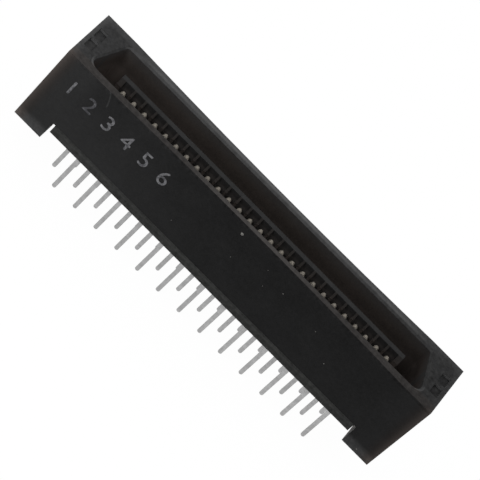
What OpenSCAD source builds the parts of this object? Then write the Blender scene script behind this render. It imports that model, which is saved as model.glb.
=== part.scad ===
// Straight two-row board-to-board connector with a D-shaped shroud.
// A central tongue stands in the shroud. Stamped spring contacts lie in cells along
// both of its faces, and their tails go down to the board in four staggered rows,
// held in line by a separate tail plate.
// Origin: middle of the board seat. +Z is the mating direction, +X runs along the
// rows, and -Y is the wide side of the D.

/* [Housing] */
// Overall length of the housing, at the rim
housing_l = 43.1; // [42:0.1:50]
// Width of the housing at its two ends, at the rim
housing_w = 7.1; // [6.9:0.05:8]
// Height from the board seat to the mating rim
housing_h = 9.25; // [9:0.05:12]
// Draft of the four outer walls, in degrees
wall_draft = 0.8; // [0:0.1:1]
// Length of each foot on the board
foot_l = 3.06; // [2:0.02:3.3]
// How far each long outer face bows in at the middle of the rim
bow_in = 0.37; // [0.05:0.01:0.45]
// Length of the bow along the rim
bow_l = 36; // [30:0.5:40]

/* [Mating opening] */
// Length of the opening at mid width
opening_l = 38.1; // [36:0.1:38.6]
// Thickness of the long shroud walls at their ends
shroud_wall = 1.04; // [0.9:0.01:1.2]
// Slant of the two end walls of the D, in degrees
end_slant = 16.7; // [0:0.1:20]
// Corner radius on the wide side of the D
wide_r = 0.8; // [0.3:0.1:1.2]
// Corner radius on the narrow side of the D
narrow_r = 0.3; // [0.1:0.05:0.6]
// Lead-in chamfer round the opening
lead_in = 0.2; // [0.05:0.05:0.3]
// Depth of the opening below the rim
opening_d = 5; // [4.6:0.1:5.4]

/* [End pockets] */
// Length of each moulding pocket in the mating face
pocket_l = 0.9; // [0.5:0.05:1]
// Width of each moulding pocket
pocket_w = 1.38; // [0.8:0.02:1.6]
// Depth of each moulding pocket
pocket_d = 0.25; // [0.1:0.05:1]
// Rib left between the two pockets of an end
pocket_rib = 0.35; // [0.2:0.05:0.6]
// Wall left between a pocket and the end face
pocket_wall = 0.4; // [0.3:0.05:0.5]

/* [Tongue] */
// Width of the tongue across its two faces
tongue_w = 1.54; // [1.5:0.02:1.7]
// Distance from the rim down to the top of the tongue
tongue_drop = 0.65; // [0.4:0.05:1]
// Thickness of the spine between the two rows of cells
spine_t = 0.54; // [0.4:0.02:0.8]
// Thickness of the ribs between cells
rib_t = 0.22; // [0.15:0.01:0.4]
// Length of the solid block at each end of the tongue
tongue_end = 0.5; // [0.3:0.05:0.8]

/* [Contacts] */
// Spacing of the contacts along a row
pitch = 1.27; // [1.2:0.01:1.28]
// Spacing of the four tail rows
tail_row_pitch = 1.905; // [1.8:0.005:1.92]
// Thickness of the strip that the contacts are stamped from
strip_t = 0.2; // [0.12:0.01:0.22]
// Width of the spring
spring_w = 0.52; // [0.3:0.02:0.56]
// Width of the stretch that is pressed into the housing
press_w = 0.62; // [0.6:0.01:0.8]
// Width of the tail
tail_w = 0.4; // [0.3:0.01:0.5]
// Reach of the tails below the board seat
tail_reach = 3.36; // [2:0.01:5]
// Distance of the pressed stretch from the middle plane
seat_y = 0.6; // [0.56:0.01:0.64]
// How far the spring's bend stands out past the tongue
bend_out = 0.28; // [0.1:0.02:0.4]
// Depth of the spring's bend below the top of the tongue
bend_drop = 1.6; // [1.3:0.05:2.2]
// Depth of the spring's tip below the top of the tongue
tip_drop = 0.8; // [0.6:0.02:1.1]
// Forward lean of the tip's rounded end, in degrees
tip_lean = 20; // [0:1:30]
// Bending radius at the middle of the strip
bend_r = 0.2; // [0.15:0.01:0.22]

/* [Tail plate] */
// Height of the plate's underside above the board seat
plate_z = 1.26; // [0.8:0.02:1.6]
// Thickness of the plate
plate_t = 0.95; // [0.6:0.05:1.05]
// Gap between each end of the plate and the foot beside it
plate_gap = 0.3; // [0.1:0.05:0.5]
// Clearance round each tail in its hole
hole_gap = 0.03; // [0.02:0.01:0.06]
// Height of the space above the plate where the tails fan out
fan_h = 1; // [0.9:0.05:1.2]
// Clearance between the outermost tails and the walls of that space
fan_gap = 0.05; // [0.03:0.01:0.08]
// Diameter of the plate's two locating pegs
peg_d = 0.9; // [0.6:0.05:1]
// Height of the pegs
peg_h = 0.7; // [0.4:0.05:0.9]
// Clearance round and above each peg
peg_gap = 0.03; // [0.02:0.01:0.1]

/* [Hidden] */
$fn = 48;
row_n = 26;
numbers = [for (i = [1 : row_n]) str(i < 10 ? "0" : "", i)];

eps = 0.01;
bend_steps = 5;

// Levels above the board seat
plate_top = plate_z + plate_t;
fan_top = plate_top + fan_h;
floor_z = housing_h - opening_d;
tongue_top = housing_h - tongue_drop;
bend_z = tongue_top - bend_drop;
tip_z = tongue_top - tip_drop;
jog_z = plate_top + fan_h / 2;
jog_rise = 0.4 * fan_h;

// Half sizes of the drafted block at height z
function half_l(z) = housing_l / 2 - (housing_h - z) * tan(wall_draft);
function half_w(z) = housing_w / 2 - (housing_h - z) * tan(wall_draft);

// Places along X
cell_l = pitch - rib_t;
row_half = row_n * pitch / 2 - rib_t / 2;
foot_x = half_l(0) - foot_l;
plate_half = foot_x - plate_gap;
fan_half = row_half + fan_gap;
peg_x = (fan_half + plate_half) / 2;
pocket_x = housing_l / 2 - pocket_wall - pocket_l;

// Distances from the middle plane
opening_half = housing_w / 2 - shroud_wall;
outer_row_y = 1.5 * tail_row_pitch;
inner_row_y = 0.5 * tail_row_pitch;
fan_w = 2 * (outer_row_y + strip_t / 2 + fan_gap);
bend_y = tongue_w / 2 + bend_out - strip_t / 2;
tip_y = seat_y + strip_t / 10;

function contact_x(i) = (i - (row_n + 1) / 2) * pitch;
function even(i) = i % 2 == 0;

// The strip's side view is a centre line of (distance from middle plane, height)
// points with rounded corners, which strip_outline() gives its thickness.
function along(a, b) = (b - a) / norm(b - a);
function left_of(d) = [-d[1], d[0]];
function turned(v, a) = [v[0] * cos(a) - v[1] * sin(a), v[0] * sin(a) + v[1] * cos(a)];
function turn_angle(d1, d2) = atan2(d1[0] * d2[1] - d1[1] * d2[0], d1 * d2);

function corner(a, b, c) =
    let (d1 = along(a, b), d2 = along(b, c), turn = turn_angle(d1, d2),
         start = b - d1 * bend_r * tan(abs(turn) / 2),
         centre = start + left_of(d1) * bend_r * sign(turn))
    [for (k = [0 : bend_steps]) centre + turned(start - centre, turn * k / bend_steps)];

function rounded(p) = concat(
    [p[0]],
    [for (i = [1 : len(p) - 2]) each corner(p[i - 1], p[i], p[i + 1])],
    [p[len(p) - 1]]);

function shifted(p, d) = [for (i = [0 : len(p) - 1])
    let (before = left_of(along(p[max(i - 1, 0)], p[max(i, 1)])),
         after = left_of(along(p[min(i, len(p) - 2)], p[min(i + 1, len(p) - 1)])),
         mean = (before + after) / norm(before + after))
    p[i] + mean * d / (mean * before)];

function reversed(p) = [for (i = [len(p) - 1 : -1 : 0]) p[i]];

function strip_outline(p, t) = concat(shifted(p, t / 2), reversed(shifted(p, -t / 2)));

// The line runs on a little past the tip, where contact_mask() cuts it off
function contact_line(tail_y) =
    let (bend = [bend_y, bend_z], tip = [tip_y, tip_z])
    [
        [tail_y, -tail_reach],
        [tail_y, jog_z - jog_rise / 2],
        [seat_y, jog_z + jog_rise / 2],
        [seat_y, floor_z + 2 * bend_r],
        bend,
        tip + strip_t * along(bend, tip)
    ];

// Outline of the D seen from the mating side, grown outwards by g
module d_outline(g) {
    half = opening_half + g;
    end_x = opening_l / 2 + g / cos(end_slant);
    difference() {
        translate([-housing_l / 2, -half]) square([housing_l, 2 * half]);
        for (side = [-1, 1])
            d_end(side, end_x, half, g);
    }
}

// Everything outside one end wall of the D, with its two rounded corners
module d_end(side, end_x, half, g) {
    lean = tan(end_slant);
    wide = wide_r + g;
    narrow = narrow_r + g;
    // Centres of the corner circles, each tangent to a long wall and the slanted wall
    wide_c = [end_x + (half - wide) * lean - wide / cos(end_slant), -half + wide];
    narrow_c = [end_x - (half - narrow) * lean - narrow / cos(end_slant), half - narrow];
    far = housing_l;
    mirror([side < 0 ? 1 : 0, 0])
    difference() {
        polygon([
            [wide_c[0], -half - eps],
            [far, -half - eps],
            [far, half + eps],
            [narrow_c[0], half + eps],
            narrow_c + [0, narrow],
            narrow_c,
            narrow_c + narrow * [cos(end_slant), sin(end_slant)],
            wide_c + wide * [cos(end_slant), sin(end_slant)],
            wide_c,
            wide_c - [0, wide]
        ]);
        translate(wide_c) circle(wide);
        translate(narrow_c) circle(narrow);
    }
}

module opening_cut() {
    translate([0, 0, floor_z]) linear_extrude(opening_d + eps) d_outline(0);
    hull() {
        translate([0, 0, housing_h - lead_in]) linear_extrude(eps) d_outline(0);
        translate([0, 0, housing_h]) linear_extrude(eps) d_outline(lead_in);
    }
}

// Side view of the drafted block, from half its foot width and half its rim width
module drafted(foot, rim) {
    polygon([[-foot, 0], [foot, 0], [rim, housing_h], [-rim, housing_h]]);
}

// Drafted block less a very large leaning cylinder on each long side: the bow is
// deepest at the middle of the rim and runs out level with the top of the tail plate
module outer_block() {
    rise = housing_h - plate_top;
    lean = atan((half_w(plate_top) - half_w(housing_h) + bow_in) / rise);
    bow_r = pow(bow_l / 2, 2) / (2 * bow_in);
    difference() {
        intersection() {
            rotate([90, 0, 0]) linear_extrude(2 * housing_w, center = true)
                drafted(half_l(0), half_l(housing_h));
            rotate([90, 0, 90]) linear_extrude(2 * housing_l, center = true)
                drafted(half_w(0), half_w(housing_h));
        }
        for (turn = [0, 180])
            rotate([0, 0, turn]) translate([0, half_w(plate_top), plate_top])
                rotate([lean, 0, 0]) translate([0, bow_r, -1])
                    cylinder(h = rise + 2, r = bow_r, $fn = 720);
    }
}

module end_pockets() {
    for (side = [-1, 1], y_side = [-1, 1])
        translate([side * (pocket_x + pocket_l / 2), y_side * (pocket_rib + pocket_w) / 2,
                   housing_h - pocket_d / 2])
            cube([pocket_l, pocket_w, pocket_d + 2 * eps], center = true);
}

// Room between the feet for the tail plate, and above it for the fanned-out tails
module underside_cut() {
    translate([-foot_x, -housing_w, -1]) cube([2 * foot_x, 2 * housing_w, 1 + plate_top]);
    translate([-fan_half, -fan_w / 2, 0]) cube([2 * fan_half, fan_w, fan_top]);
    for (side = [-1, 1])
        translate([side * peg_x, 0, plate_top - eps])
            cylinder(h = peg_h + peg_gap + eps, d = peg_d + 2 * peg_gap);
}

// Solid tongue with its nose sloped at 45 degrees on both faces
module tongue_bar() {
    half = tongue_w / 2;
    nose = half - spine_t / 2;
    rotate([90, 0, 90]) linear_extrude(2 * (row_half + tongue_end), center = true)
        polygon([
            [-half, floor_z - eps], [half, floor_z - eps], [half, tongue_top - nose],
            [spine_t / 2, tongue_top], [-spine_t / 2, tongue_top], [-half, tongue_top - nose]
        ]);
}

module cell(x, side) {
    depth = tongue_w - spine_t;
    translate([x - cell_l / 2, side > 0 ? spine_t / 2 : -spine_t / 2 - depth, floor_z])
        cube([cell_l, depth, opening_d]);
}

module press_slot(x, side) {
    translate([x - press_w / 2, side * seat_y - strip_t / 2, fan_top - eps])
        cube([press_w, strip_t, floor_z - fan_top + 2 * eps]);
}

module housing() {
    color([0.13, 0.13, 0.135])
    difference() {
        union() {
            difference() {
                outer_block();
                opening_cut();
                end_pockets();
                underside_cut();
            }
            tongue_bar();
        }
        for (i = [1 : row_n], side = [-1, 1]) {
            cell(contact_x(i), side);
            press_slot(contact_x(i), side);
        }
    }
}

// Front row tails alternate inner, outer; the back row is the front row turned round
function tail_y(i) = even(i) ? outer_row_y : inner_row_y;

module tail_hole(x, y) {
    translate([x, y, plate_z + plate_t / 2])
        cube([tail_w + 2 * hole_gap, strip_t + 2 * hole_gap, plate_t + 2 * eps], center = true);
}

module tail_plate() {
    color([0.19, 0.19, 0.19])
    difference() {
        union() {
            translate([-plate_half, -half_w(plate_top), plate_z])
                cube([2 * plate_half, 2 * half_w(plate_top), plate_t]);
            for (side = [-1, 1])
                translate([side * peg_x, 0, plate_top - eps]) cylinder(h = peg_h + eps, d = peg_d);
        }
        for (i = [1 : row_n], side = [-1, 1])
            tail_hole(side * contact_x(i), -side * tail_y(i));
    }
}

// Front view of a contact below its tip: spring, pressed stretch, tail with round point
module contact_face() {
    translate([-spring_w / 2, floor_z - eps])
        square([spring_w, tip_z - 0.75 * spring_w - floor_z + eps]);
    translate([-press_w / 2, fan_top]) square([press_w, floor_z - fan_top]);
    translate([-tail_w / 2, tail_w / 2 - tail_reach])
        square([tail_w, fan_top + tail_reach - tail_w / 2 + eps]);
    translate([0, tail_w / 2 - tail_reach]) circle(d = tail_w);
}

// Rounded end of the spring, with its highest point at the origin
module tip_face() {
    translate([0, -spring_w / 2]) circle(d = spring_w);
    translate([-spring_w / 2, -2 * spring_w]) square([spring_w, 1.5 * spring_w]);
}

// Everything a contact may fill, seen from the front; the tip's end leans forward
module contact_mask() {
    rotate([90, 0, 0]) linear_extrude(2 * housing_w, center = true) contact_face();
    translate([0, -tip_y, tip_z]) rotate([90 + tip_lean, 0, 0])
        linear_extrude(4 * spring_w, center = true) tip_face();
}

module contact(i) {
    color([0.78, 0.7, 0.5])
    translate([contact_x(i), 0, 0])
    intersection() {
        rotate([90, 0, -90]) linear_extrude(2 * press_w, center = true)
            polygon(strip_outline(rounded(contact_line(tail_y(i))), strip_t));
        contact_mask();
    }
}

housing();
tail_plate();
for (i = [1 : row_n]) {
    contact(i);
    rotate([0, 0, 180]) contact(i);
}
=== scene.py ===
# %% [markdown]
# # A straight board-to-board connector
#
# The real object is a black moulded block, 43 mm long, with two rows of stamped
# spring contacts on a central tongue and four rows of tinned tails below. The
# exact solids come from the CAD model, and this lesson gives them their finish,
# adds the ink and the dust that lie on them, and lights the whole as on a
# photographer's table. Lengths are written in millimetres and turned into metres
# where Blender needs them.

# %% Load the fixed frame
import math

import bpy
from mathutils import Matrix, Vector


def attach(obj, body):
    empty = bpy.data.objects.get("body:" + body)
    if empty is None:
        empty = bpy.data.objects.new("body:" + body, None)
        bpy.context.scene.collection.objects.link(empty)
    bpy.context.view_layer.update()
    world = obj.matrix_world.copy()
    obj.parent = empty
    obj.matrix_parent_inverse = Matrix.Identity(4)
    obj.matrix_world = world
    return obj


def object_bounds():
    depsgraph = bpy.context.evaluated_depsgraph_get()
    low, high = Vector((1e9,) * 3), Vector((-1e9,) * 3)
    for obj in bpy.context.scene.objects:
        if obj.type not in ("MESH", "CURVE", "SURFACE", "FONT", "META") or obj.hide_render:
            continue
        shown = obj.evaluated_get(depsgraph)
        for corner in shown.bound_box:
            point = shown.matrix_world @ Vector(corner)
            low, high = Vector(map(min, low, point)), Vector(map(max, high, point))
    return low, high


MM = 0.001

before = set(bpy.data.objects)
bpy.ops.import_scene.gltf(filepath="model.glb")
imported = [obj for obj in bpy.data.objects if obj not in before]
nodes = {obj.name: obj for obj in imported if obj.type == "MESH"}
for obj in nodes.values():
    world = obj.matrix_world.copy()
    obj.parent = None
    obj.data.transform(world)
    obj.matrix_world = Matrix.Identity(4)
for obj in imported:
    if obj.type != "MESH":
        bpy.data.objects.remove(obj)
cad_low, cad_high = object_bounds()
print("CAD box in mm:", [round(v / MM, 2) for v in (*cad_low, *cad_high)])

# %% [markdown]
# ## Camera
#
# The photograph looks down on the wide side of the shroud with a long lens, so
# parallel edges hardly converge, and the picture is turned so that the connector
# runs from corner to corner. A camera is easiest to read as the point it aims at,
# two angles, a distance and a roll about its own axis.

# %% Place the camera
aim = Vector((0.097, 2.497, 2.785)) * MM
view_azimuth = math.radians(-2.393)
view_elevation = math.radians(39.996)
view_roll = math.radians(46.642)
view_distance = 293.31 * MM
lens_mm = 253.89


def place_camera():
    """Stand the camera on its line of sight and roll it about that line."""
    level = math.cos(view_elevation)
    back = Vector((
        math.sin(view_azimuth) * level,
        -math.cos(view_azimuth) * level,
        math.sin(view_elevation),
    ))
    camera = bpy.data.objects.new("camera", bpy.data.cameras.new("camera"))
    camera.data.lens = lens_mm
    camera.data.sensor_width = 36.0
    camera.data.clip_start = 0.01
    camera.data.clip_end = 20.0
    turn = (-back).to_track_quat("-Z", "Y").to_matrix().to_4x4()
    roll = Matrix.Rotation(view_roll, 4, "Z")
    camera.matrix_world = Matrix.Translation(aim + back * view_distance) @ turn @ roll
    bpy.context.scene.collection.objects.link(camera)
    bpy.context.scene.camera = camera
    return camera


camera = place_camera()
print("camera stands at mm:", [round(v / MM, 1) for v in camera.matrix_world.translation])

# %% [markdown]
# ## Node trees written as Python
#
# Materials and Geometry Nodes are both trees of nodes. Wiring them one link at a
# time hides the idea, so a small class wraps a socket: plain arithmetic on it adds
# Math nodes, and every other node comes from one method that takes the node's
# type, its settings and its inputs.

# %% Wrap sockets and trees


class Wire:
    """An output socket. Arithmetic on it adds Math nodes to its tree."""

    def __init__(self, tree, socket):
        self.tree = tree
        self.socket = socket

    def math(self, operation, *values):
        node = self.tree.node("ShaderNodeMath", {"operation": operation}, dict(enumerate(values)))
        return self.tree.wire(node)

    def __add__(self, other):
        return self.math("ADD", self, other)

    def __sub__(self, other):
        return self.math("SUBTRACT", self, other)

    def __rsub__(self, other):
        return self.math("SUBTRACT", other, self)

    def __mul__(self, other):
        return self.math("MULTIPLY", self, other)

    def __truediv__(self, other):
        return self.math("DIVIDE", self, other)

    __radd__ = __add__
    __rmul__ = __mul__

    def root(self):
        return self.math("SQRT", self)

    def size(self):
        return self.math("ABSOLUTE", self)

    def upper(self, other):
        return self.math("MAXIMUM", self, other)

    def lower(self, other):
        return self.math("MINIMUM", self, other)

    def step(self, low, high):
        """0 below low and 1 above high, with a smooth rise between them."""
        settings = {"interpolation_type": "SMOOTHSTEP"}
        values = {"Value": self, "From Min": low, "From Max": high}
        return self.tree.wire(self.tree.node("ShaderNodeMapRange", settings, values))

    def between(self, low, high, soft):
        """1 from low to high, fading over soft outside them."""
        return self.step(low - soft, low) * (1 - self.step(high, high + soft))


class Tree:
    """A node tree of any kind, filled one node at a time."""

    def __init__(self, tree):
        self.tree = tree

    def node(self, kind, settings=None, values=None):
        new = self.tree.nodes.new(kind)
        for name, value in (settings or {}).items():
            setattr(new, name, value)
        for key, value in (values or {}).items():
            if isinstance(value, Wire):
                self.tree.links.new(value.socket, new.inputs[key])
            else:
                new.inputs[key].default_value = value
        return new

    def wire(self, node, output=0):
        return Wire(self, node.outputs[output])

    def get(self, kind, settings=None, values=None, output=0):
        return self.wire(self.node(kind, settings, values), output)


# %% [markdown]
# ## Looking at a surface in millimetres
#
# Each finish below is a pattern in space: grain of a few hundredths of a
# millimetre, cloudiness of a few millimetres, a mark at a known place. Object
# coordinates are metres here, so one Vector Math node turns them into millimetres
# and every later number can be read against a ruler.

# %% Start a material


class Finish(Tree):
    """A new material with its place in millimetres at hand."""

    def __init__(self, name):
        self.material = bpy.data.materials.new(name)
        self.material.use_nodes = True
        super().__init__(self.material.node_tree)
        self.tree.nodes.clear()
        coordinates = self.get("ShaderNodeTexCoord", output="Object")
        self.place = self.get(
            "ShaderNodeVectorMath", {"operation": "SCALE"}, {0: coordinates, "Scale": 1 / MM}
        )
        split = self.node("ShaderNodeSeparateXYZ", values={0: self.place})
        self.x, self.y, self.z = (self.wire(split, axis) for axis in "XYZ")

    def noise(self, per_mm, detail=2.0, roughness=0.5):
        values = {"Vector": self.place, "Scale": per_mm, "Detail": detail, "Roughness": roughness}
        return self.get("ShaderNodeTexNoise", values=values, output="Fac")

    def blend(self, share, first, second):
        """A colour that goes from first to second as share goes from 0 to 1."""
        values = {"Factor": share, 6: first, 7: second}
        return self.get("ShaderNodeMix", {"data_type": "RGBA"}, values, output=2)

    def bump(self, height_mm, normal=None):
        """Tilt the normal as a relief of that height would."""
        values = {"Height": height_mm, "Distance": MM, "Strength": 1.0}
        if normal is not None:
            values["Normal"] = normal
        return self.get("ShaderNodeBump", values=values)

    def surface(self, **sockets):
        values = {name.replace("_", " "): value for name, value in sockets.items()}
        shader = self.get("ShaderNodeBsdfPrincipled", values=values)
        self.node("ShaderNodeOutputMaterial", values={"Surface": shader})
        return self.material


# %% [markdown]
# ## Geometry Nodes in a script
#
# The ink and the dust are repeats of small forms, so Geometry Nodes make them. Each
# tree is run once, on a carrier object, and its result is kept as a plain mesh.
# A modifier knows its inputs by identifier, so the sizes are set that way before
# the carrier is evaluated for the first time.

# %% Run a tree once and keep the mesh


class Maker(Tree):
    """A Geometry Nodes tree with named sizes."""

    def __init__(self, name, **sizes):
        super().__init__(bpy.data.node_groups.new(name, "GeometryNodeTree"))
        self.name = name
        self.sizes = sizes
        panel = self.tree.interface
        panel.new_socket("Geometry", in_out="INPUT", socket_type="NodeSocketGeometry")
        for label in sizes:
            panel.new_socket(label, in_out="INPUT", socket_type="NodeSocketFloat")
        panel.new_socket("Geometry", in_out="OUTPUT", socket_type="NodeSocketGeometry")
        self.entry = self.node("NodeGroupInput")

    def input(self, label):
        return Wire(self, self.entry.outputs[label])

    def place(self):
        split = self.node("ShaderNodeSeparateXYZ", values={0: self.get("GeometryNodeInputPosition")})
        return (self.wire(split, axis) for axis in "XYZ")

    def vector(self, x, y, z):
        return self.get("ShaderNodeCombineXYZ", values={"X": x, "Y": y, "Z": z})

    def run(self, geometry, material, points=(), widths=()):
        """Coat the geometry, evaluate the tree and ride the plain mesh on the part."""
        real = self.get("GeometryNodeRealizeInstances", values={0: geometry})
        coated = self.get("GeometryNodeSetMaterial", values={0: real, "Material": material})
        self.node("NodeGroupOutput", values={0: coated})
        sheet = bpy.data.meshes.new(self.name + "_points")
        sheet.from_pydata(list(points), [], [])
        if widths:
            sheet.attributes.new("width", "FLOAT", "POINT").data.foreach_set("value", widths)
        carrier = bpy.data.objects.new(self.name + "_carrier", sheet)
        bpy.context.scene.collection.objects.link(carrier)
        modifier = carrier.modifiers.new("tree", "NODES")
        modifier.node_group = self.tree
        for socket in self.tree.interface.items_tree:
            if socket.name in self.sizes:
                modifier[socket.identifier] = self.sizes[socket.name]
        ready = carrier.evaluated_get(bpy.context.evaluated_depsgraph_get())
        piece = bpy.data.objects.new(self.name, bpy.data.meshes.new_from_object(ready))
        bpy.context.scene.collection.objects.link(piece)
        bpy.data.objects.remove(carrier)
        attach(piece, "root")
        print(self.name, "has", len(piece.data.polygons), "faces")
        return piece


# %% [markdown]
# ## The wide face
#
# Ink and dust have to lie on the wide face, which is drafted like any moulding and
# bows in at the rim. Two formulas give it: a plane that leans in by the draft, and
# a large leaning cylinder that is cut from it. The one that lies further in wins.
# The same formula serves numbers here and sockets in a tree.

# %% Know where the wide face is
rim_z = 9.25
rim_half_width = 3.55
draft_slope = 0.01396
plate_top_z = 2.21
plate_half_width = 3.452
bow_lean = 0.0386
bow_diameter_mm = 875.7


def wide_face(x, z, lower=min):
    """How far the wide face stands in front of the middle plane, in millimetres."""
    drafted = rim_half_width - (rim_z - z) * draft_slope
    bowed = plate_half_width - (z - plate_top_z) * bow_lean + x * x / bow_diameter_mm
    return lower(bowed, drafted)


print("wide face at mid length, at the plate and at the rim:",
      round(wide_face(0, plate_top_z), 3), round(wide_face(0, rim_z), 3))

# %% [markdown]
# ## Black moulded plastic
#
# The block is glass-filled polyester: nearly black, dull, with the fine even grain
# of a spark-eroded mould and a faint cloudiness where the melt has flowed. Its
# edges are never quite sharp, and the thin line of light along them is what shows
# the form of a black object, so a Bevel node rounds the shading there without
# touching the exact CAD mesh. Where the Bevel normal turns, the tone is lifted
# too, as a painted highlight along the edges.

# %% Mix the black plastic
edge_radius_mm = 0.07
plastic_gloss = 0.06
brightest_tone = 4.0
brown_cast = (1.2, 0.98, 0.86)


class Plastic(Finish):
    """Black plastic with a tone, its brightness, and a warmth that marks can be added to."""

    def __init__(self, name, tint):
        super().__init__(name)
        self.tint = tint
        self.warmth = 0.0
        self.grain = self.noise(9.0, 2.0, 0.6)
        self.mottle = self.noise(2.5, 3.0, 0.6) - 0.5
        cloud = self.noise(0.35, 3.0)
        self.rounded = self.get("ShaderNodeBevel", {"samples": 6}, {"Radius": edge_radius_mm * MM})
        true_normal = self.get("ShaderNodeNewGeometry", output="Normal")
        agreement = self.get(
            "ShaderNodeVectorMath", {"operation": "DOT_PRODUCT"},
            {0: self.rounded, 1: true_normal}, "Value",
        )
        self.edge = (1 - agreement).step(0.01, 0.2)
        self.tone = 1 + (cloud - 0.5) * 0.35 + (self.grain - 0.5) * 0.5
        # The edge term lifts the tone along the rounded edges: a painted highlight.
        self.tone = self.tone + self.mottle * 0.35 + self.edge * 0.3

    def coat(self, roughness):
        """Turn the tone into a colour of the plastic's own tint."""
        fine = self.noise(30.0, 1.0)
        share = self.tone * (1 / brightest_tone)
        black = (0.0, 0.0, 0.0, 1)
        full = [channel * brightest_tone for channel in self.tint]
        brown = [channel * change for channel, change in zip(full, brown_cast)]
        hue = self.blend(self.warmth, (*full, 1), (*brown, 1))
        return self.surface(
            Base_Color=self.blend(share, black, hue),
            Roughness=roughness + (self.grain - 0.5) * 0.12,
            Specular_IOR_Level=plastic_gloss,
            Normal=self.bump(self.grain * 0.004 + fine * 0.002, self.rounded),
        )


# %% [markdown]
# ## The housing's own marks
#
# The same black is not the same everywhere. Painted shade darkens the wide face, and
# painted light greys it towards the left end. The rim is paler where the wall is thinnest and
# along the far wall, and palest on the lip round the opening, where a painted highlight
# follows the rounded edge. Painted shade darkens the rim's upper faces towards the right end.
# Both ends carry a paler, browner band along their outer edges. The last millimetre of the
# feet is a lighter band, and a painted shade line runs where the tail plate snaps in. Painted
# light lifts the walls of the end pockets and painted shade darkens their floors. A curved
# scratch crosses the wide face near one end. Inside the opening the black looks browner, and
# painted light and shade follow its walls and ribs. Each mark is a place in millimetres, so
# each is one line on the tone or on the warmth.

# %% Measure from the opening's edge
opening_half_width = 2.51
opening_half_length = 19.05
end_slant = math.radians(16.7)
near_corner_mm = 0.8
far_corner_mm = 0.3


def from_opening(x, y):
    """Distance from the wall of the D-shaped opening, positive outside it."""
    corner = near_corner_mm - y.step(-0.1, 0.1) * (near_corner_mm - far_corner_mm)
    past_side = y.size() - opening_half_width
    past_end = (x.size() + y * math.tan(end_slant) - opening_half_length) * math.cos(end_slant)
    outer_side = (past_side + corner).upper(0.0)
    outer_end = (past_end + corner).upper(0.0)
    return (outer_side * outer_side + outer_end * outer_end).root() - corner


# %% Name the places that several marks share
lip_depth_mm = 0.2
pocket_depth_mm = 0.25


def on_rim(z):
    return z.step(rim_z - 0.03, rim_z - 0.01)


def on_wide_face(y):
    return 1 - y.step(-3.15, -3.05)


def on_spine(y):
    return 1 - y.size().step(0.25, 0.3)


def in_opening(x, y, z):
    """1 on all that lies inside the opening and below its lip."""
    below_lip = 1 - z.step(rim_z - lip_depth_mm - 0.07, rim_z - lip_depth_mm - 0.01)
    return (1 - from_opening(x, y).step(0.3, 0.4)) * below_lip


def towards_lit_end(x):
    """1 near the left end, fading to 0 at mid length; it shapes painted light that is stronger towards
    that end.
    """
    return 1 - x.step(-16.0, 0.0)


def end_band(x):
    """Rises over the last millimetre before each end."""
    pale_band = x.size().step(20.3, 21.7)
    return pale_band * pale_band


# %% Mark the mating face


def rim_tone(finish, patchiness):
    """Paler where the wall is thin, along the far wall and at the ends; painted highlight on the lip,
    painted light and shade in the pockets, painted shade to the right.
    """
    x, y, z = finish.x, finish.y, finish.z
    # The mask towards the left end shapes painted light that is stronger there.
    left_light = towards_lit_end(x)
    thin_wall = y.size().step(2.7, 2.8) * (1 - x.size().step(3.0, 10.0)) * 0.55
    far_line = y.between(2.8, 2.98, 0.06) * 0.45
    far_wall = y.step(2.6, 2.7) * (1 - x.size().step(14.0, 19.0)) * (left_light * 0.2 + 0.8 + far_line)
    far_corner = y.step(2.4, 3.3) * x.size().step(16.5, 18.5) * 0.45
    pale_band = end_band(x) * (left_light * 0.55 + 0.4)
    tone = on_rim(z) * (thin_wall + far_wall + far_corner + pale_band)
    # Painted shade darkens the upper faces towards the right end; the mottle there is random.
    tone = tone + z.step(8.9, 8.98) * (finish.mottle * 1.1 - x.step(16.0, 20.0) * 0.2)
    # The lip carries a painted highlight along its rounded inner edge, strongest on the near side, with
    # patchy strength.
    lip = from_opening(x, y).between(-0.01, 0.16, 0.08)
    lip = lip * z.step(rim_z - lip_depth_mm - 0.01, rim_z - lip_depth_mm + 0.01)
    ink_wear_and_lip_light = 1 - y.between(-1.4, 1.9, 0.5) * 0.8 - y.step(1.9, 2.4) * x.step(4.0, 14.0) * 0.6
    floor_z = rim_z - pocket_depth_mm
    # Painted light lifts the pocket walls and painted shade darkens the pocket floors, less so towards
    # the left end.
    pocket = x.size().step(20.0, 20.05) * (1 - y.size().step(1.7, 1.8))
    pocket_wall_light = z.between(floor_z + 0.01, rim_z - 0.03, 0.01) * 2.4
    pocket_floor_shade = z.between(floor_z - 0.03, floor_z, 0.01) * (0.2 - left_light * 0.1)
    return tone + lip * ink_wear_and_lip_light * (patchiness + 0.3) + pocket * (pocket_wall_light - pocket_floor_shade)


# %% Mark the inside of the opening


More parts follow.
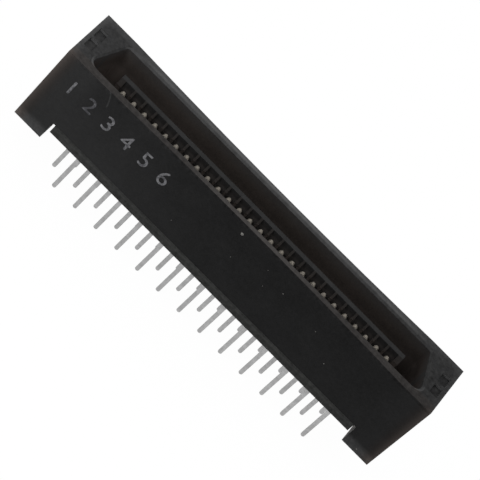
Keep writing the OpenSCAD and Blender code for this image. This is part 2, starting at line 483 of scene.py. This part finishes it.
def inside_tone(finish):
    """Painted light up the walls, in the left corner, on the cell walls and on the rib sides more to
    the right; painted shade on the rib tops and spine.
    """
    x, y, z = finish.x, finish.y, finish.z
    # Painted light fills the left corner, where the left box's shadow falls, and lifts the walls
    # towards the rim and the left end.
    left_corner_light = 1 - x.step(-17.6, -16.8)
    wall_light_and_shade = z.step(7.2, 9.1) * 0.55 - z.step(6.7, 7.4) * 0.35 + towards_lit_end(x) * 0.15 + 0.15
    wall_light_and_shade = wall_light_and_shade + left_corner_light * (1.2 - z.step(5.0, 8.0) * 0.9)
    tongue = (1 - y.size().step(0.8, 0.85)) * (1 - x.size().step(17.2, 17.3))
    spine = on_spine(y)
    rib_top = (1 - spine) * z.step(7.9, 8.1)
    rib_side = y.size().step(0.6, 0.7) * (1 - z.step(8.0, 8.2))
    cell_wall = (1 - y.size().step(0.6, 0.7)) * (1 - z.step(7.8, 8.2))
    # Painted light on the rib sides and cell walls, painted shade on the rib tops and spine.
    tongue_light_and_shade = rib_side * (x.step(-18.0, 18.0) * 0.4 + 0.1) + cell_wall * 0.5
    tongue_light_and_shade = tongue_light_and_shade - rib_top * 0.38 - spine * 0.2
    return in_opening(x, y, z) * (wall_light_and_shade * (1 - tongue) + tongue_light_and_shade * tongue)


# %% Mark the wide face and the feet
foot_band_top_z = 1.05
seam_top_z = 2.45
scratch_centre_x = -19.35
scratch_centre_z = 7.23
scratch_radius_mm = 3.36


def wide_face_tone(finish, patchiness):
    """Painted shade overall, painted light towards the left end, pale feet and ends, a painted shade
    seam and one curved scratch.
    """
    x, y, z = finish.x, finish.y, finish.z
    wide = on_wide_face(y) * (1 - on_rim(z))
    # Painted shade darkens the wide face, more towards the rim, and painted light from the left lifts
    # it near that end.
    rise = z.step(2.0, 9.0) * (1 - x.size().step(17.0, 19.0))
    tone = towards_lit_end(x) * (0.48 - rise * 0.25) - rise * 0.1 - 0.38
    tone = tone + x.step(18.0, 20.0) * 0.11 + end_band(x) * 1.8
    across = x - scratch_centre_x
    up = z - scratch_centre_z
    off_line = ((across * across + up * up).root() - scratch_radius_mm).size()
    scratch = (1 - off_line.step(0.03, 0.1)) * z.between(7.9, rim_z, 0.3)
    scratch = scratch * x.step(-18.0, -17.8) * finish.noise(3.0, 2.0).step(0.2, 0.5)
    foot_band = 1 - z.step(foot_band_top_z - 0.4, foot_band_top_z + 0.35)
    strength = patchiness + finish.mottle * 1.5 + 0.7 - z.step(0.0, 0.8) * 0.3
    foot_band = foot_band * x.size().step(18.3, 18.4) * strength
    # A painted shade line along the seam where the tail plate meets the housing.
    seam_shade = z.between(plate_top_z, seam_top_z - 0.15, 0.1) * (1 - x.size().step(18.0, 18.1))
    return wide * (tone + scratch * 0.9) + foot_band * 1.4 - seam_shade * 0.12


# %% Add the marks and the painted light up


def housing_plastic():
    finish = Plastic("housing_plastic", (0.047, 0.047, 0.0475))
    x, y, z = finish.x, finish.y, finish.z
    patchiness = finish.noise(1.3, 3.0, 0.6)
    marks_and_light = rim_tone(finish, patchiness) + inside_tone(finish) + wide_face_tone(finish, patchiness)
    finish.tone = finish.tone + marks_and_light
    inside = in_opening(x, y, z) * (0.85 - on_spine(y) * 0.65 - z.step(7.8, 8.8) * 0.5)
    near_rim = (1 - y.step(-2.6, -2.4)) * on_rim(z) * 0.35
    ends = on_wide_face(y) * x.size().step(20.0, 21.2) * 0.7
    finish.warmth = inside.upper(near_rim).upper(ends)
    return finish.coat(0.55)


def plate_plastic():
    finish = Plastic("tail_plate_plastic", (0.047, 0.0475, 0.046))
    patchiness = finish.noise(1.6, 3.0, 0.6)
    # A painted highlight along the top edge of the tail plate.
    top_highlight = finish.z.between(1.84, 1.98, 0.08)
    finish.tone = finish.tone + patchiness * 0.6 + finish.mottle * 2.0 + top_highlight * 0.35 + 0.25
    return finish.coat(0.6)


housing_finish = housing_plastic()
plate_finish = plate_plastic()

# %% [markdown]
# ## Gilt and tin on one strip
#
# Each contact is stamped from copper alloy, nickel plated all over, gilded where
# the mating half wipes it and tinned where it is soldered. The three platings
# meet in soft lines at known heights, so one material chooses by height. The gilding
# is dull and darker on the spring ends, and painted light makes it paler below them,
# where the springs lie in shade, so the ends show as soft spots. The tin is a
# little cloudy.

# %% Plate the contacts
tin_top_z = 3.0
gilt_foot_z = 5.2
spring_end_z = 7.6
strip_edge_mm = 0.04


def plated_strip():
    finish = Finish("contact_plating")
    drift = (finish.noise(1.2) - 0.5) * 0.6
    gilt = (finish.z + drift).step(gilt_foot_z - 0.2, gilt_foot_z + 0.2)
    tin = 1 - (finish.z + drift).step(tin_top_z - 0.2, tin_top_z + 0.2)
    drawn = finish.noise(14.0, 3.0)
    rounded = finish.get("ShaderNodeBevel", {"samples": 6}, {"Radius": strip_edge_mm * MM})
    tinned = finish.blend(finish.noise(2.5, 2.0), (0.30, 0.30, 0.30, 1), (0.54, 0.54, 0.54, 1))
    nickel_or_tin = finish.blend(tin, (0.50, 0.48, 0.44, 1), tinned)
    # Painted light: the gilding is paler below the spring ends, where the springs lie in shade.
    high = finish.z.step(spring_end_z - 0.5, spring_end_z)
    gilding = finish.blend(high, (0.85, 0.78, 0.68, 1), (0.47, 0.437, 0.385, 1))
    return finish.surface(
        Base_Color=finish.blend(gilt, nickel_or_tin, gilding),
        Metallic=1.0,
        Roughness=0.42 + gilt * 0.33 + tin * 0.03 + (drawn - 0.5) * 0.12,
        Normal=finish.bump(drawn * 0.003, rounded),
    )


contact_finish = plated_strip()

# %% Dress the CAD nodes


def dress(name, finish):
    slots = nodes[name].material_slots
    for slot in slots:
        slot.material = finish
    if not slots:
        nodes[name].data.materials.append(finish)


dress("housing", housing_finish)
dress("tail_plate", plate_finish)
contacts = [name for name in nodes if name.startswith("contact_")]
for name in contacts:
    dress(name, contact_finish)
print("contacts plated:", len(contacts))

# %% [markdown]
# ## Ink on the wide face
#
# The wall carries one line of pad-printed characters. Plain numbers stand here. The
# String to Curves node sets them, Fill Curve closes them, and an extrusion gives the
# film its thickness. Every point is then stood up and laid on the wide face. The ink
# is a thin grey that covers unevenly, so its colour comes from noise.

# %% Print the numbers
digit_height_mm = 1.65
digit_pitch_mm = 2.17
first_digit_x = -19.24
print_line_z = 5.75
film_mm = 0.012


def worn_ink():
    finish = Finish("grey_ink")
    patch = finish.noise(2.2, 3.0, 0.7)
    speckle = finish.noise(16.0, 2.0)
    ink_wear_and_lip_light = finish.x.between(-17.9, -15.9, 0.1) * 0.12
    cover = (patch * 0.6 + speckle * 0.4 - ink_wear_and_lip_light).step(0.36, 0.62)
    return finish.surface(
        Base_Color=finish.blend(cover, (0.10, 0.10, 0.11, 1), (0.42, 0.42, 0.44, 1)),
        Roughness=0.6 + (speckle - 0.5) * 0.2,
        Specular_IOR_Level=0.2,
        Normal=finish.bump(speckle * 0.003),
    )


def print_numbers(ink):
    font_height = 0.70
    font_advance = 0.50
    size = digit_height_mm / font_height
    start_x = first_digit_x - font_advance * size / 2
    maker = Maker(
        "printed_numbers",
        Size=size, Spacing=digit_pitch_mm / (font_advance * size), Film=film_mm,
    )
    letters = maker.get("GeometryNodeStringToCurves", values={
        "String": "123456", "Size": maker.input("Size"), "Character Spacing": maker.input("Spacing"),
    })
    outline = maker.get("GeometryNodeRealizeInstances", values={0: letters})
    finer = maker.get("GeometryNodeResampleCurve", values={"Curve": outline, "Count": 28})
    flat = maker.get("GeometryNodeFillCurve", values={"Curve": finer})
    raised = maker.get("GeometryNodeExtrudeMesh", values={
        "Mesh": flat, "Offset": maker.vector(0.0, 0.0, 1.0), "Offset Scale": maker.input("Film"),
        "Individual": False,
    })
    back = maker.get("GeometryNodeFlipFaces", values={"Mesh": flat})
    joined = maker.node("GeometryNodeJoinGeometry")
    for part in (raised, back):
        maker.tree.links.new(part.socket, joined.inputs[0])
    closed = maker.get(
        "GeometryNodeMergeByDistance", values={"Geometry": maker.wire(joined), "Distance": film_mm / 9}
    )
    across, up, proud = maker.place()
    x = across + start_x
    z = up + print_line_z
    face_y = 0.002 - wide_face(x, z, Wire.lower) - proud
    laid = maker.get("GeometryNodeSetPosition", values={
        "Geometry": closed, "Position": maker.vector(x * MM, face_y * MM, z * MM),
    })
    return maker.run(laid, ink)


ink = worn_ink()
print_numbers(ink)

# %% [markdown]
# ## Dust
#
# A black moulding draws dust, and the picture shows one pale crumb under the rim
# with a few fainter ones around. Each is a small ico sphere pushed out of round and
# half sunk into the wide face. The carrier's points say where the crumbs lie, and a
# named attribute on them says how wide each is.

# %% Scatter the crumbs
crumbs_mm = (
    (-0.38, 8.21, 0.28), (0.35, 5.61, 0.07), (5.68, 6.83, 0.10), (4.00, 5.84, 0.07),
    (3.36, 7.44, 0.06), (12.4, 4.70, 0.09), (9.9, 6.50, 0.08), (-5.4, 3.90, 0.07),
    (19.8, 0.45, 0.12),
)


def pale_dust():
    finish = Finish("pale_dust")
    lumps = finish.noise(20.0, 2.0)
    return finish.surface(
        Base_Color=finish.blend(lumps, (0.25, 0.24, 0.22, 1), (0.55, 0.54, 0.52, 1)),
        Roughness=0.9 - lumps * 0.1,
        Specular_IOR_Level=0.2,
        Normal=finish.bump(lumps * 0.01),
    )


def scatter_crumbs(finish):
    maker = Maker("dust_crumbs", Flatness=0.5, Unevenness=1.0)
    ball = maker.get("GeometryNodeMeshIcoSphere", values={"Radius": 0.5, "Subdivisions": 3})
    lump = maker.get("ShaderNodeTexNoise", values={"Scale": 2.5, "Detail": 1.0}, output="Fac")
    x, y, z = maker.place()
    push = (lump - 0.5) * maker.input("Unevenness") + 1
    uneven = maker.get("GeometryNodeSetPosition", values={
        "Geometry": ball,
        "Position": maker.vector(x * push, y * push * maker.input("Flatness"), z * push),
    })
    width = maker.get("GeometryNodeInputNamedAttribute", {"data_type": "FLOAT"}, {"Name": "width"})
    turn = maker.get("FunctionNodeRandomValue", {"data_type": "FLOAT"}, {2: 0.0, 3: 6.28, "Seed": 3}, 1)
    crumbs = maker.get("GeometryNodeInstanceOnPoints", values={
        "Points": maker.input("Geometry"), "Instance": uneven,
        "Rotation": maker.vector(0.0, turn, 0.0), "Scale": maker.vector(width, width, width),
    })
    points = [(x * MM, -wide_face(x, z) * MM, z * MM) for x, z, size in crumbs_mm]
    return maker.run(crumbs, finish, points, [size * MM for x, z, size in crumbs_mm])


scatter_crumbs(pale_dust())

# %% [markdown]
# ## Table and light
#
# The photograph is a catalogue picture on pure white, taken in a light tent. The
# floor is a plain pale sheet under the tails' tips. Light Path lets it look white to
# the camera and in reflections without throwing more light on the object, and a
# share of plain diffuse keeps the soft shadow.

# %% Lay the floor
floor_size = 3.0
floor_white = 1.09


def pale_floor():
    finish = Finish("floor_sheet")
    path = finish.node("ShaderNodeLightPath")
    seen = finish.wire(path, "Is Camera Ray").upper(finish.wire(path, "Is Glossy Ray"))
    seen = seen.upper(finish.wire(path, "Is Transmission Ray"))
    paper = finish.get("ShaderNodeBsdfDiffuse", values={"Color": (0.3, 0.3, 0.3, 1)})
    glow = finish.get("ShaderNodeEmission", values={"Color": (1, 1, 1, 1), "Strength": floor_white})
    both = finish.get("ShaderNodeMixShader", values={0: seen * 0.9, 1: paper, 2: glow})
    finish.node("ShaderNodeOutputMaterial", values={"Surface": both})
    sheet = bpy.data.meshes.new("floor")
    half = floor_size / 2
    corners = [(-half, -half, 0), (half, -half, 0), (half, half, 0), (-half, half, 0)]
    height = cad_low.z
    sheet.from_pydata([(x, y, height) for x, y, z in corners], [], [(0, 1, 2, 3)])
    sheet.materials.append(finish.material)
    floor = bpy.data.objects.new("floor", sheet)
    bpy.context.scene.collection.objects.link(floor)


# %% [markdown]
# ## The tent
#
# A light tent glows evenly from above and gives next to nothing near the table. The
# world does that with one smooth step on the height of the direction looked in, and
# is plain white where the camera sees it. A small soft box near the left end makes
# that end a little brighter, as it is in the picture.

# %% Hang the tent and the box
tent_glow = 0.8
horizon_glow = 0.04


def soft_light(name, place_mm, size_mm, brightness):
    """A square soft box of that brightness, turned towards the object."""
    data = bpy.data.lights.new(name, "AREA")
    data.shape = "SQUARE"
    data.size = size_mm * MM
    data.energy = brightness * math.pi * data.size ** 2
    light = bpy.data.objects.new(name, data)
    light.location = Vector(place_mm) * MM
    light.rotation_euler = (aim - light.location).to_track_quat("-Z", "Y").to_euler()
    bpy.context.scene.collection.objects.link(light)


def light_tent():
    world = bpy.data.worlds.new("studio")
    bpy.context.scene.world = world
    world.use_nodes = True
    tree = Tree(world.node_tree)
    tree.tree.nodes.clear()
    path = tree.node("ShaderNodeLightPath")
    seen = tree.wire(path, "Is Camera Ray").upper(tree.wire(path, "Is Transmission Ray"))
    direction = tree.get("ShaderNodeTexCoord", output="Generated")
    height = tree.wire(tree.node("ShaderNodeSeparateXYZ", values={0: direction}), "Z")
    glow = height.step(0.35, 0.62) * (tent_glow - horizon_glow) + horizon_glow
    white = (1, 1, 1, 1)
    sky = tree.get("ShaderNodeBackground", values={"Color": white, "Strength": glow.upper(seen)})
    tree.node("ShaderNodeOutputWorld", values={"Surface": sky})


pale_floor()
light_tent()
soft_light("left_box", (-45, -40, 45), 30, 2.5)
bpy.context.scene.view_settings.view_transform = "Standard"
